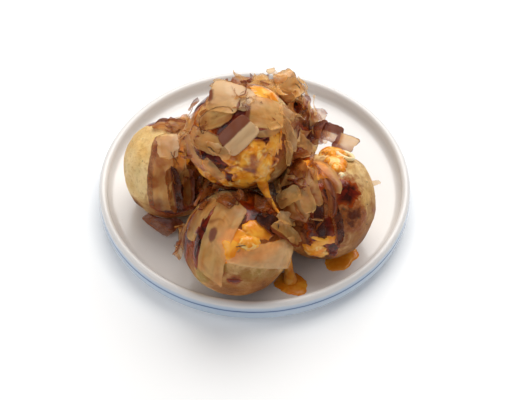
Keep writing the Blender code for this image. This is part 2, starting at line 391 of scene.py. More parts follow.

# Browned skin, partly painted shade on the near and lower sides, sauce soaked into it and an
# olive cast from the herbs, as spots on a ball: azimuth, elevation, reach in degrees and strength.
doughMarks = {
    "ball_left": {
        "crustAndShade": [(-92, -24, 34, 1.2), (-135, -16, 12, 1.3), (-60, 0, 26, 1.0), (140, 10, 16, 0.7)],
        "stain": [(-90, -8, 24, 1.0), (-52, 20, 34, 1.3), (-78, 52, 14, 0.6), (20, 50, 40, 1.0)],
        "olive": 0.2,
    },
    "ball_front": {
        # the broad last spot here is painted shade over this ball's near face
        "crustAndShade": [(-160, 4, 28, 1.1), (-60, -18, 36, 1.0), (-98, -16, 36, 1.0), (170, 30, 20, 0.9),
                  (-90, 6, 50, 0.66)],
        "stain": [(-92, 6, 9, 1.0), (-108, 14, 8, 0.9), (-148, 38, 34, 1.1), (-10, 68, 44, 1.3),
                  (-38, 6, 9, 0.7), (40, 40, 44, 1.1), (-176, 10, 16, 0.7)],
        "olive": 0.9,
    },
    "ball_right": {
        "crustAndShade": [(-95, -22, 38, 1.2), (-40, -16, 44, 1.1), (-15, 10, 26, 0.8), (70, 0, 24, 0.8),
                  (20, 40, 60, 0.5)],
        "stain": [(-50, 34, 24, 1.1), (-98, 22, 36, 1.2), (-36, 56, 24, 0.9), (-12, 12, 12, 0.55),
                  (-150, 50, 50, 1.3), (170, 20, 40, 1.1)],
        "olive": 0.25,
    },
    "ball_back": {
        "crustAndShade": [(60, -10, 34, 1.0), (150, 0, 34, 0.9), (0, 60, 26, 0.5)],
        "stain": [(2, 56, 26, 1.1), (-40, 34, 30, 1.1), (130, 70, 30, 0.8), (-90, 30, 50, 1.1)],
        "olive": 0.4,
    },
    "ball_top": {
        "crustAndShade": [(60, 0, 34, 0.9), (150, -10, 30, 0.9), (-20, -24, 34, 1.1), (-30, 6, 34, 1.0)],
        "stain": [(-95, 50, 60, 1.0), (-58, 32, 30, 1.1), (-140, 10, 44, 1.2), (-90, -30, 40, 1.1),
                  (90, 70, 40, 0.7)],
        "olive": 0.6,
    },
}


def bakedDough():
    finish = Finish("bakedDough", 0.5, Coat_Weight=0.0, Specular_IOR_Level=0.2,
                    Subsurface_Weight=0.1, Subsurface_Scale=0.002)
    finish.shader.inputs["Subsurface Radius"].default_value = (1.0, 0.45, 0.18)
    broad = finish.noise(15, 3.0, distortion=0.4)
    patch = finish.noise(5.5, 5.0, 0.6, distortion=0.8)
    grain = finish.noise(1.5, 4.0, 0.7)
    colour = finish.mix(finish.steps(broad, 0.35, 0.68), linear(255, 222, 160), linear(236, 188, 112))
    colour = finish.tint(colour, patch, 0.5, 0.8, 0.55, (204, 136, 50))
    green = finish.times(finish.painted("olive"), finish.steps(finish.noise(7, 3.0), 0.36, 0.62))
    colour = finish.mix(green, colour, linear(158, 132, 54))
    colour = finish.tint(colour, grain, 0.5, 0.75, 0.6, (172, 106, 40))
    colour = finish.tint(colour, grain, 0.46, 0.25, 0.45, (250, 226, 176))
    # browned skin, partly painted shade where the mark lies on the near, lower side
    crustAndShade = finish.plus(finish.painted("crustAndShade"), finish.sway(patch, 0.9))
    colour = finish.tint(colour, crustAndShade, 0.15, 0.9, 0.9, (156, 88, 18))
    colour = finish.tint(colour, crustAndShade, 0.8, 1.35, 0.85, (78, 32, 6))
    stain = finish.plus(finish.painted("stain"), finish.sway(finish.noise(2.6, 4.0), 1.1))
    colour = finish.tint(colour, stain, 0.25, 0.7, 0.85, (150, 66, 10))
    colour = finish.tint(colour, stain, 0.7, 1.15, 0.92, (74, 20, 3))
    finish.colour(colour)
    finish.rough(finish.steps(stain, 0.3, 0.9, 0.52, 0.2))
    pores = finish.bump(finish.noise(0.5, 3.0, 0.65), 0.2, 0.7)
    finish.bump(finish.noise(2.2, 5.0, 0.6, 0.5), 0.8, 0.8, pores)
    return finish.material


def doughReach(ball, outward):
    # how far the dough reaches from the ball's centre, in metres
    seed = Vector((ball["seed"], 0.0, 0.0))
    (broad, broadPitch), (fine, finePitch) = dough["broadLumps"], dough["fineLumps"]
    lumps = broad * noise.noise(outward * broadPitch + seed)
    reach = ball["radius"] * (1.0 + lumps + fine * noise.noise(outward * finePitch - seed))
    bulge = ball.get("bulge")
    if bulge:
        angle = outward.angle(toward(bulge["azimuth"], bulge["elevation"]))
        reach += bulge["rise"] * exp(-((angle / bulge["spread"]) ** 2))
    return reach * mm


def onBall(name, azimuth, elevation, lift=0.0):
    outward = toward(azimuth, elevation)
    return inMetres(balls[name]["at"]) + outward * (doughReach(balls[name], outward) + lift * mm)


def press(point, normal, limit):
    # flattens dough against a plane, with a soft edge
    edge = dough["pressedEdge"] * mm
    past = point.dot(normal) - (limit - edge)
    if past <= 0.0:
        return point
    return point - normal * (past - edge * (1.0 - exp(-past / edge)))


def pressingPlanes(name):
    # the plate's floor and the planes halfway to the other balls
    centre = inMetres(balls[name]["at"])
    gap = dough["contactGap"] * mm
    planes = [(Vector((0.0, 0.0, -1.0)), -(plate["floorHeight"] * mm + gap))]
    for otherName, other in balls.items():
        if otherName != name:
            between = inMetres(other["at"]) - centre
            share = balls[name]["radius"] / (balls[name]["radius"] + other["radius"])
            normal = between.normalized()
            planes.append((normal, (centre + between * share).dot(normal) - gap / 2))
    return planes


def spotStrength(outward, spots):
    strongest = 0.0
    for azimuth, elevation, reach, strength in spots:
        angle = outward.angle(toward(azimuth, elevation))
        strongest = max(strongest, strength * exp(-((angle / radians(reach)) ** 2)))
    return strongest


def makeBall(name, material):
    ball = balls[name]
    centre = inMetres(ball["at"])
    planes = pressingPlanes(name)
    seed = Vector((ball["seed"], 7.0, 0.0))
    (wrinkle, wrinklePitch), (pore, porePitch) = dough["wrinkles"], dough["pores"]
    columns, rows = dough["sectors"], dough["rings"]
    spots = doughMarks[name]
    points = []
    marks = {"crustAndShade": [], "stain": [], "olive": []}
    for i in range(columns):
        for j in range(rows + 1):
            outward = toward(360.0 * i / columns, -90.0 + 180.0 * j / rows)
            creases = abs(noise.noise(outward * wrinklePitch + seed)) - 0.2
            pores = noise.fractal(outward * porePitch + seed, 0.8, 2.2, 3)
            dents = ball["radius"] * mm * (wrinkle * creases + pore * pores)
            point = centre + outward * (doughReach(ball, outward) - dents)
            for normal, limit in planes:
                point = press(point, normal, limit)
            points.append(point)
            # darker towards the bottom: browning and painted shade on the underside
            bottom = dough["bottomBrowningAndShade"] * (1.0 - smooth(-0.9, -0.35, outward.z))
            marks["crustAndShade"].append(max(spotStrength(outward, spots["crustAndShade"]), bottom))
            marks["stain"].append(spotStrength(outward, spots["stain"]))
            marks["olive"].append(spots["olive"])
    faces = gridFaces(columns, rows, turned=True)
    pieceName = name.replace("ball_", "dough_")
    piece = newPiece(pieceName, points, faces, material, marks, nodes=(name,))
    piece.data.validate()


film = {
    "thickness": 0.16,
    "clearance": 0.3,      # over the dough
    "layerHeight": 0.55,
    "otherClearance": 0.3,
    "floorClearance": 0.15,
    "textureWidth": 15.0,
    "tearPitch": 5.0,
    "ripplePitch": (4.0, 3.0),
    "cells": (40, 20),
    "looseCells": (30, 10),
    "marks": ("band", "tone", "sauced", "rim"),
}


def shaving(ball, azimuth, elevation, spin, length, width, **shape):
    # where it lies, which way its length points and its flat size, then its shape
    plain = {
        "layer": 0,                  # how many lie under it
        "lift": 0.0,
        "face": (azimuth, elevation),
        "bends": None,               # radii along and across; None lies on the ball
        "outline": 3.0,              # 2 is an oval, 20 a rectangle
        "blunt": 0.08,
        "taper": 0.0,
        "slant": 0.0,
        "bow": 0.0,
        "twist": 0.0,
        "torn": 0.35,
        "ripple": 0.25,
        "curls": (0.0, 0.0),         # how far the two long edges rise
        "tips": (0.0, 0.0),          # and the two ends
        "tone": 0.1,                 # below 0 is cream, near 1 amber
        "fade": 0.25,
        "rim": 0.5,
        "sauced": 0.0,
        "band": (0, 0.0, 0.0),       # the skin side: edge, share of the width, depth of colour
        "blots": (),
    }
    return {"ball": ball, "azimuth": azimuth, "elevation": elevation, "spin": spin,
            "size": (length, width), **plain, **shape}


# The largest shavings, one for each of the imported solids.
flakes = {
    "flake_front_wide": shaving("ball_front", -121, 51, 175, 38, 12.5, outline=20, taper=-0.1, layer=1,
        blunt=0.9, slant=3.0, ripple=0.35, tone=-0.1, curls=(0.2, 0.5), tips=(0.5, 0.8), rim=0.1,
        fade=0.15, blots=[(-0.05, -0.4, 0.2, 0.34, 0.9), (-0.42, -0.05, 0.16, 0.3, 0.42)]),
    "flake_front_sliver": shaving("ball_front", -176, 50, 138, 21, 7, outline=4, ripple=0.4, tone=0.25,
        curls=(0.8, 0.2), rim=0.3),
    "flake_front_cross": shaving("ball_front", -50, 28, 118, 31, 11, outline=10, blunt=0.45, taper=0.3,
        layer=1, ripple=0.6, tone=-0.35, tips=(0.0, 2.0), curls=(0.6, 0.3), slant=2.5, rim=0.15,
        fade=-0.2),
    "flake_front_ridge": shaving("ball_front", -12, 27, 165, 20, 7.5, outline=5, blunt=0.4, layer=2,
        tips=(0.4, 2.2), curls=(1.0, 1.6), ripple=0.5, tone=0.3, band=(-1, 0.3, 0.7), slant=1.5),
    "flake_front_dark": shaving("ball_front", -22, 54, 170, 11, 7.5, outline=3, layer=1,
        band=(1, 1.0, 1.2), tone=0.6, curls=(0.8, 1.0), ripple=0.9, torn=0.7, taper=0.4),
    "flake_left_long": shaving("ball_left", -100, 40, 180, 36, 11, outline=9, layer=1, blunt=0.6,
        band=(-1, 0.3, 0.52), rim=0.1, tone=0.5, ripple=0.4, curls=(0.5, 0.2), taper=-0.12, bow=-0.9,
        blots=[(1.1, 0.6, 0.2, 0.8, 0.7)]),
    "flake_left_fold": shaving("ball_left", -84, 24, 176, 21, 6, outline=4, layer=2, tips=(0.5, 1.6),
        curls=(1.4, 1.6), band=(1, 0.6, 1.1), tone=0.55, torn=0.6, ripple=0.8),
    "flake_left_inner": shaving("ball_left", -58, 32, 182, 24, 8, outline=4, band=(-1, 0.5, 1.0),
        tone=0.75, curls=(1.0, 1.2), ripple=0.9, sauced=0.7, torn=0.6),
    "flake_left_crown": shaving("ball_left", 100, 72, -58, 13, 9, outline=5, tone=0.15,
        band=(1, 0.35, 1.0), curls=(0.5, 0.6), ripple=0.5, torn=0.5),
    "flake_left_cap": shaving("ball_left", -8, 70, 106, 17, 9, outline=2.6, layer=1, tone=0.2,
        curls=(0.8, 0.3), rim=0.9),
    "flake_plate_dark": shaving("ball_left", -104, -38, 108, 15, 10, lift=1.2, outline=16, blunt=0.85,
        face=(-110, 52), bends=(18, 12), band=(1, 0.6, 0.95), tone=1.0, torn=0.5, slant=1.6,
        curls=(1.2, 1.6), ripple=0.7),
    "flake_plate_curl": shaving("ball_front", 153, -24, 174, 12, 8, lift=3.4, outline=2.4,
        face=(-95, 42), bends=(40, 6), tone=0.4, rim=1.0),
    "flake_top_strip": shaving("ball_top", -96, 50, 42, 15, 10.5, outline=5, blunt=0.55, layer=4,
        lift=0.8, tips=(0.3, 0.8), torn=0.12, band=(1, 0.5, 0.75), tone=-0.75, curls=(-3.6, 0.2),
        fade=0.0, ripple=0.12, rim=0.05),
    "flake_top_oval": shaving("ball_top", -143, 56, 31, 16, 9, outline=2.2, layer=3, tone=0.25,
        curls=(0.6, 0.8), ripple=0.2, tips=(0.3, 0.2), rim=1.1, blots=[(0.0, 0.1, 0.5, 0.35, 0.5)]),
    "flake_top_shield": shaving("ball_top", -32, 62, 146, 17, 14, bends=(16, 24), outline=4, blunt=0.75,
        layer=3, tone=-0.1, taper=-0.08, tips=(0.2, 1.6), curls=(0.4, 0.6), ripple=0.2, rim=0.25,
        torn=0.15, blots=[(-1.0, 0.1, 0.28, 1.4, 1.0)]),
    "flake_top_cream": shaving("ball_top", 176, 80, 106, 19, 12, lift=1.0, face=(-95, 72),
        bends=(22, 12), outline=5, layer=3, tone=-0.7, curls=(0.2, 0.4), blunt=0.4, rim=0.12,
        ripple=0.2, blots=[(-1.0, -0.5, 0.3, 0.7, 0.9)]),
    "flake_top_lower_cream": shaving("ball_top", -162, 70, 42, 15, 8.5, outline=5, layer=3, tone=-0.45,
        curls=(0.3, 0.5), blunt=0.5, rim=0.2, torn=0.3, ripple=0.2, blots=[(1.0, 0.3, 0.2, 1.0, 0.8)]),
    "flake_top_side": shaving("ball_top", -173, 50, 144, 11, 7, outline=9, blunt=0.5, tone=0.1,
        tips=(1.8, 0.2), rim=0.7, layer=1),
    "flake_top_tan": shaving("ball_top", -139, 32, 75, 18, 9, outline=7, blunt=0.4, layer=2, tone=0.0,
        band=(1, 0.12, 0.6), curls=(0.3, 0.8), torn=0.5, ripple=0.3, rim=0.2),
    "flake_top_purple": shaving("ball_top", -130, 17, 84, 18, 7, outline=3, tone=0.5,
        band=(-1, 0.9, 1.1), curls=(0.7, 0.9), torn=0.7, ripple=0.6, sauced=0.5),
    "flake_back_tan": shaving("ball_back", 142, 84, -30, 14, 10, lift=2.0, outline=6, blunt=0.5,
        tone=0.1, curls=(0.5, 0.8), ripple=0.4, face=(-80, 62), bends=(12, 16), rim=0.3),
    "flake_back_pink": shaving("ball_back", 150, 58, 60, 9, 5.5, lift=3.5, outline=4, face=(-95, 60),
        bends=(60, 12), tone=0.35, band=(1, 0.5, 0.7), torn=0.6),
    "flake_back_heap": shaving("ball_back", 10, 70, 60, 13, 9.5, lift=3.5, outline=4, face=(-80, 48),
        bends=(9, 14), tone=-0.1, ripple=2.0, curls=(1.6, 2.0), torn=0.8, rim=0.8),
    "flake_back_crest": shaving("ball_back", 56, 64, 80, 11, 6, lift=5.5, outline=4, face=(-70, 70),
        bends=(8, 16), tone=-0.1, ripple=1.8, torn=0.8, rim=0.9),
    "flake_back_red": shaving("ball_back", -2, 52, 150, 10, 9, outline=6, tone=0.9, band=(1, 1.0, 1.0),
        sauced=0.9, torn=0.5),
    "flake_side_dark": shaving("ball_back", -20, 24, 100, 11, 7.5, lift=3.0, outline=5, face=(-60, 55),
        bends=(8, 12), tone=0.9, band=(1, 0.5, 0.8), sauced=0.9, torn=0.5, curls=(1.2, 1.4),
        ripple=0.8),
    "flake_side_fold": shaving("ball_right", 80, 36, 120, 10, 8, lift=8.5, outline=6, face=(-75, 55),
        bends=(7, 12), tone=0.6, band=(1, 0.5, 0.95), curls=(1.2, 1.0), sauced=0.7),
    "flake_side_tan": shaving("ball_right", 64, 38, 130, 9.5, 7.5, lift=5.0, outline=14, blunt=0.7,
        face=(-60, 60), bends=(20, 9), tone=0.35, rim=1.0, slant=1.4,
        blots=[(-0.9, 0.0, 0.3, 1.2, 0.9)]),
    "flake_right_brown": shaving("ball_right", 172, 64, 60, 19, 8, outline=5, layer=1, tone=0.8,
        band=(-1, 0.4, 0.9), curls=(1.0, 1.2), sauced=0.7, torn=0.6),
    "flake_right_ribbon": shaving("ball_right", -80, 38, 170, 26, 4.2, outline=4, layer=1, tone=0.8,
        band=(1, 0.8, 1.1), curls=(0.6, 1.0), bow=1.8, torn=0.6, ripple=0.6),
    "flake_right_beige": shaving("ball_right", -133, 42, 72, 14, 11, outline=9, blunt=0.5, layer=2,
        tone=0.25, ripple=0.7, curls=(0.9, 1.2), torn=0.6, rim=0.7),
}

# Smaller loose shavings that show on their own.
looseShavings = [
    shaving("ball_top", -43, 50, 102, 17, 3.2, outline=3, layer=3, bow=-2.6, tone=-0.3, rim=0.2,
            ripple=0.3, lift=0.4),
    shaving("ball_top", 130, 66, -75, 10, 3, outline=3, face=(-90, 50), bends=(3.4, 20), tone=0.0,
            lift=2.6, rim=0.7),
    shaving("ball_top", -117, 32, 95, 11, 5, outline=4, layer=3, ripple=1.5, torn=0.9, tone=-0.2,
            curls=(1.2, 1.4), rim=0.4),
    shaving("ball_top", -26, 27, -174, 16, 6, outline=4, layer=2, ripple=1.3, torn=0.8, tone=-0.2,
            curls=(1.4, 1.8), rim=0.3),
    shaving("ball_top", -12, 34, -165, 17, 6, outline=4, layer=3, ripple=1.3, torn=0.8, tone=-0.4,
            curls=(1.6, 1.2), rim=0.3),
    shaving("ball_top", -36, 12, -170, 12, 4, outline=4, layer=1, ripple=0.9, torn=0.7, tone=0.2,
            curls=(1.2, 1.2), rim=0.3),
    shaving("ball_back", -50, 28, 153, 15, 5, outline=4, layer=2, ripple=1.2, torn=0.8, tone=-0.1,
            curls=(1.4, 1.2), lift=2.5, rim=0.3),
    shaving("ball_right", -146, 46, 24, 12, 7, outline=5, layer=3, ripple=0.5, tone=0.0,
            curls=(0.8, 1.2), lift=1.4, rim=0.3),
    shaving("ball_right", -120, 54, 135, 12, 6, outline=5, layer=2, ripple=0.8, tone=0.3,
            curls=(1.0, 1.2), lift=1.6, rim=0.4),
    shaving("ball_right", -78, 84, 156, 20, 4.4, outline=4, layer=2, bow=1.6, tone=0.35,
            curls=(1.0, 0.8), ripple=0.5, rim=0.5),
    shaving("ball_right", -116, 70, 146, 18, 5, outline=4, layer=3, bow=-1.4, tone=0.3,
            curls=(1.0, 1.2), ripple=0.5, rim=0.5),
    shaving("ball_right", -82, 60, 178, 17, 4, outline=4, layer=2, bow=1.2, tone=0.7,
            band=(1, 0.5, 1.0), curls=(0.8, 1.0), rim=0.4),
    shaving("ball_right", -94, 36, 172, 16, 5, outline=4, layer=1, bow=-1.0, tone=0.9,
            band=(1, 1.0, 1.2), curls=(0.8, 1.2), torn=0.6),
    shaving("ball_left", -73, 48, -167, 15, 6, outline=4, layer=1, tone=0.4, curls=(1.2, 0.8),
            ripple=0.6, rim=0.5, torn=0.5),
    shaving("ball_left", -68, 24, -172, 18, 5.5, outline=4, layer=3, tone=0.5, curls=(1.6, 1.0),
            ripple=0.8, band=(1, 0.3, 1.0), torn=0.6),
    shaving("ball_left", 60, 68, -128, 11, 4, outline=3, face=(-90, 60), bends=(4.5, 12), tone=0.2,
            lift=1.6, rim=0.6),
    shaving("ball_left", -96, 74, 168, 12, 9, outline=5, layer=2, ripple=0.7, tone=-0.4,
            curls=(0.8, 0.6), torn=0.7, rim=0.2),
    shaving("ball_front", 0, 36, 156, 13, 6, outline=3, layer=3, ripple=0.9, torn=0.8, tone=-0.3,
            curls=(0.9, 1.2), lift=1.0, rim=0.2),
    shaving("ball_top", -119, 8, 128, 11, 5, outline=4, layer=2, ripple=0.6, tone=0.1, curls=(0.8, 1.0),
            torn=0.6, rim=0.4),
    shaving("ball_top", -152, 10, 110, 15, 8, outline=4, layer=2, ripple=0.6, tone=0.2,
            curls=(0.8, 1.0), torn=0.6, rim=0.4),
    shaving("ball_right", 10, 27, 80, 5.5, 2.2, outline=3, face=(-90, 50), bends=(12, 12), tone=-0.2,
            lift=0.9, rim=0.3),
]


def driedBonito():
    finish = Finish("driedBonito", 0.3, Coat_Weight=0.35, Coat_Roughness=0.16, Specular_IOR_Level=0.5)
    grain = finish.noise(1.0, 4.0, 0.6, 0.3, finish.stretched((1.6, 20.0, 1.0)))
    streak = finish.noise(1.0, 3.0, 0.6, 0.4, finish.stretched((0.8, 3.0, 1.0)))
    cloud = finish.noise(6.5, 2.0, distortion=0.5)
    wander = finish.sway(finish.noise(2.6, 3.0), 0.4)
    tone = finish.painted("tone")
    colour = finish.mix(finish.steps(streak, 0.3, 0.7), linear(255, 218, 142), linear(244, 176, 82))
    creamy = finish.mix(streak, linear(255, 240, 202), linear(246, 200, 138))
    colour = finish.mix(finish.steps(tone, -0.8, 0.0, 0.95, 0.0), colour, creamy)
    colour = finish.tint(colour, grain, 0.5, 0.8, 0.1, (190, 118, 48))
    amber = finish.steps(finish.plus(tone, finish.sway(cloud, 2.2)), 0.0, 0.9)
    colour = finish.mix(finish.times(amber, 0.92), colour, linear(172, 84, 14))
    band = finish.plus(finish.painted("band"), wander)
    deep = finish.mix(streak, linear(176, 82, 28), linear(116, 40, 12))
    inBand = finish.steps(band, 0.32, 0.64)
    colour = finish.mix(finish.times(inBand, 0.94), colour, deep)
    colour = finish.tint(colour, band, 0.85, 1.25, 0.85, (52, 14, 10))
    onRim = finish.steps(finish.plus(finish.painted("rim"), wander), 0.4, 0.9)
    colour = finish.mix(finish.times(onRim, 0.75), colour, linear(104, 46, 14))
    wet = finish.plus(finish.painted("sauced"), wander)
    colour = finish.tint(colour, wet, 0.35, 0.75, 0.88, (124, 40, 4))
    finish.colour(colour)
    finish.rough(finish.steps(wet, 0.3, 0.8, 0.34, 0.16))
    finish.bump(finish.plus(finish.times(grain, 0.3), cloud), 0.15, 0.5)
    # a shaving is a film: thin and clear in the middle, denser along the skin side
    dense = finish.larger(finish.times(inBand, 0.8), finish.times(onRim, 0.7))
    dense = finish.larger(dense, finish.steps(cloud, 0.3, 0.7, 0.42, 0.74))
    dense = finish.larger(dense, finish.steps(tone, -0.8, -0.2, 0.92, 0.0))
    finish.seeThrough(dense, 0.45, colour)
    return finish.material


def keepClear(point, ownBall, clearance):
    # moves a point out of every ball and off the plate's floor
    for name, ball in balls.items():
        centre = inMetres(ball["at"])
        offset = point - centre
        room = (clearance if name == ownBall else film["otherClearance"]) * mm
        if offset.length > (ball["radius"] * 1.14) * mm + room:
            continue
        outward = offset.normalized()
        least = doughReach(ball, outward) + room
        if offset.length < least:
            point = centre + outward * least
    point.z = max(point.z, (plate["floorHeight"] + film["floorClearance"]) * mm)
    return point


def axesOf(face, spin):
    # the length and width directions of a thing that faces this way
    east = Vector((0.0, 0.0, 1.0)).cross(face).normalized()
    north = face.cross(east)
    along = north * cos(radians(spin)) + east * sin(radians(spin))
    return along, face.cross(along)


def bandDepth(flake, u, v):
    # how far into the skin side or a blot a point of the sheet is
    edge, share, depth = flake["band"]
    fromEdge = 1.0 - v if edge > 0 else 1.0 + v
    deepest = depth * (1.0 - smooth(share * 2.0 - 0.25, share * 2.0 + 0.25, fromEdge)) if share else 0.0
    for blotU, blotV, reachU, reachV, blotDepth in flake["blots"]:
        away = ((u - blotU) / reachU) ** 2 + ((v - blotV) / reachV) ** 2
        deepest = max(deepest, blotDepth * exp(-away))
    return deepest


def tearing(distance, side, seed):
    # how ragged an edge is at this distance along it
    return noise.fractal(Vector((distance / mm / film["tearPitch"], side, seed)), 0.7, 2.3, 3)


def addSheet(heap, flake, columns, rows, seed):
    # one shaving as a grid of points; u runs along it and v across it, from -1 to 1
    ball = balls[flake["ball"]]
    clearance = film["clearance"] + film["layerHeight"] * flake["layer"]
    outward = toward(flake["azimuth"], flake["elevation"])
    height = doughReach(ball, outward) + (clearance + flake["lift"]) * mm
    centre = inMetres(ball["at"]) + outward * height
    face = toward(*flake["face"])
    along, across = axesOf(face, flake["spin"])
    length, width = (size * mm for size in flake["size"])
    bendAlong, bendAcross = (bend * mm for bend in flake["bends"] or (height / mm, height / mm))
    torn, ripple = flake["torn"] * mm, flake["ripple"] * mm
    rippleAlong, rippleAcross = film["ripplePitch"]
    texture = film["textureWidth"] * mm
    curls = [curl * mm for curl in flake["curls"]]
    tips = [tip * mm for tip in flake["tips"]]
    points, places = [], []
    marks = {mark: [] for mark in film["marks"]}
    for i in range(columns + 1):
        u = 2.0 * i / columns - 1.0
        side = max((1.0 - abs(u) ** flake["outline"]) ** (1.0 / flake["outline"]), flake["blunt"])
        side *= 1.0 + flake["taper"] * u
        for j in range(rows + 1):
            v = 2.0 * j / rows - 1.0
            nick = tearing(u * length, 3.0 if v > 0.0 else -3.0, seed) * torn * abs(v) ** 3
            end = tearing(v * width, 9.0 if u > 0.0 else -9.0, seed)
            x = u * length / 2 + end * torn * 1.5 * abs(u) ** 5
            x += flake["slant"] * mm * v * abs(u)
            y = v * (side * width / 2 + nick) + flake["bow"] * mm * (1.0 - u * u)
            turn, roll = x / bendAlong, y / bendAcross
            z = -bendAlong * (1.0 - cos(turn)) - bendAcross * (1.0 - cos(roll))
            z += tips[0] * max(-u, 0.0) ** 2.5 + tips[1] * max(u, 0.0) ** 2.5
            z += curls[0] * max(-v, 0.0) ** 3 + curls[1] * max(v, 0.0) ** 3
            z += ripple * noise.noise(Vector((x / mm / rippleAlong, y / mm / rippleAcross, seed)))
            sideways, up = bendAcross * sin(roll), z
            angle = radians(flake["twist"]) * u
            sideways, up = sideways * cos(angle) - up * sin(angle), up * cos(angle) + sideways * sin(angle)
            point = centre + along * bendAlong * sin(turn) + across * sideways + face * up
            points.append(keepClear(point, flake["ball"], clearance))
            places.append((0.5 + u / 2 * length / texture, 0.5 + v / 2 * width / texture))
            marks["band"].append(bandDepth(flake, u, v))
            marks["sauced"].append(flake["sauced"] * (1.0 - smooth(-0.9, 0.3, u)))
            marks["rim"].append(flake["rim"] * smooth(0.8, 1.0, max(abs(v), abs(u) ** 2)))
            marks["tone"].append(flake["tone"] - flake["fade"] * v)
    heap.add(points, gridFaces(columns, rows), places, **marks)


def makeFlakes(material):
    for number, (name, flake) in enumerate(flakes.items()):
        heap = Heap(*film["marks"])
        addSheet(heap, flake, *film["cells"], 10.0 + 3.7 * number)
        pieceName = name.replace("flake_", "shaving_")
        piece = heap.make(pieceName, material, nodes=(name,))
        skin = piece.modifiers.new("thickness", "SOLIDIFY")
        skin.thickness = film["thickness"] * mm
        skin.offset = 0.0


# Loose shreds lie in nests: ball, azimuth, elevation, spread, how many films and
# ribbons, how high they pile, how dark they are and how much sauce they have soaked up.
nests = [
    ("ball_top", -140, 60, 30, 4, 2, 0.4, (0.0, 0.5), 0.3),
    ("ball_top", -166, 20, 30, 9, 6, 1.2, (0.0, 0.7), 0.5),
    ("ball_top", -14, 34, 26, 9, 7, 1.8, (-0.2, 0.5), 0.3),
    ("ball_top", 84, 50, 40, 18, 3, 1.4, (-0.4, 0.5), 0.3),
    ("ball_top", -90, -48, 24, 18, 5, 2.0, (0.6, 1.1), 0.9),
    ("ball_back", 50, 62, 22, 20, 8, 5.5, (-0.7, 0.1), 0.1),
    ("ball_back", 150, 60, 26, 10, 5, 2.5, (-0.2, 0.5), 0.3),
    ("ball_back", -30, 40, 26, 14, 9, 2.4, (-0.3, 0.7), 0.4),
    ("ball_right", 150, 52, 28, 12, 14, 3.0, (0.2, 0.9), 0.7),
    ("ball_right", -154, 44, 24, 7, 10, 2.6, (0.2, 0.9), 0.7),
    ("ball_right", -112, 34, 16, 2, 4, 1.0, (0.6, 1.1), 0.9),
    ("ball_front", 6, 46, 20, 8, 7, 2.0, (0.4, 1.1), 0.8),
    ("ball_front", 112, 56, 34, 18, 8, 4.5, (0.2, 1.0), 0.7),
    ("ball_front", 176, -4, 16, 4, 3, 0.8, (0.3, 0.8), 0.5),
    ("ball_left", -36, 28, 24, 12, 12, 2.4, (0.5, 1.1), 0.8),
    ("ball_left", 20, 66, 22, 6, 5, 1.2, (-0.1, 0.5), 0.3),
]

shreds = {
    "seed": 7,
    "filmLength": (3.5, 9.5),
    "filmWidth": (0.5, 0.95),      # shares of the length
    "filmTwist": (-30, 30),
    "filmTorn": 0.6,
    "filmCells": (14, 8),
    "ribbonLength": (5.0, 13.0),
    "ribbonWidth": (0.1, 0.2),
    "ribbonTwist": (-90, 90),
    "ribbonTorn": 0.2,
    "ribbonCells": (20, 2),
    "lean": (40, 35),              # how far they turn and tilt off the ball's face
    "bends": ((4, 14), (3, 14)),
    "elevations": (-70.0, 88.0),
    "paintedShadeLow": 0.6,               # painted shade: added to the tone at the bottom of a nest
    "paintedLightHigh": -0.9,              # painted light: added further up, in step with the height
    "soaking": 1.7,
}


def addShred(heap, draw, nest, isFilm):
    ballName, nestAzimuth, nestElevation, spread, films, ribbons, lift, tones, wet = nest
    kind = "film" if isFilm else "ribbon"
    away = sqrt(draw.random()) * spread
    heading = draw.uniform(0.0, 2.0 * pi)
    lowest, highest = shreds["elevations"]
    elevation = max(min(nestElevation + away * sin(heading), highest), lowest)
    azimuth = nestAzimuth + away * cos(heading) / max(cos(radians(elevation)), 0.25)
    length = draw.uniform(*shreds[kind + "Length"])
    high = draw.random() ** 1.6
    turn, tilt = shreds["lean"]
    bendsAlong, bendsAcross = shreds["bends"]
    # lower shreds are soaked more often: sauce, and partly painted shade at the bottom of a nest
    soaked = draw.random() < wet * shreds["soaking"] * (1.0 - high)
    flake = shaving(
        ballName, azimuth, elevation, draw.uniform(0, 180), length,
        length * draw.uniform(*shreds[kind + "Width"]),
        lift=high * lift,
        face=(azimuth + draw.uniform(-turn, turn), min(elevation + draw.uniform(-tilt, tilt), highest)),
        bends=(draw.uniform(*bendsAlong) * draw.choice((1.0, -1.0)),
               draw.uniform(*bendsAcross) * draw.choice((1.0, -1.0))),
        outline=draw.uniform(2.2, 8.0),
        torn=shreds[kind + "Torn"],
        ripple=draw.uniform(0.4, 1.3),
        twist=draw.uniform(*shreds[kind + "Twist"]),
        # darker low in a nest and paler high up: painted shade and painted light
        tone=draw.uniform(*tones) + shreds["paintedShadeLow"] + shreds["paintedLightHigh"] * high,
        rim=draw.uniform(0.0, 0.9),
        fade=draw.uniform(-0.5, 0.5),
        band=(draw.choice((-1, 1)), draw.choice((0.0, 0.0, 0.2, 0.4)), draw.uniform(0.5, 1.0)),
        curls=(draw.uniform(-0.5, 1.6), draw.uniform(-0.5, 1.6)) if isFilm else (0.2, 0.2),
        layer=draw.randint(0, 1) + round(2 * high),
        sauced=0.9 if soaked else 0.0,
    )
    addSheet(heap, flake, *shreds[kind + "Cells"], draw.uniform(0.0, 500.0))


def makeShreds(material):
    draw = random.Random(shreds["seed"])
    heap = Heap(*film["marks"])
    for number, flake in enumerate(looseShavings):
        addSheet(heap, flake, *film["looseCells"], 200.0 + 5.3 * number)
    for nest in nests:
        films, ribbons = nest[4:6]
        for number in range(films + ribbons):
            addShred(heap, draw, nest, number < films)
    heap.make("bonitoShreds", material)


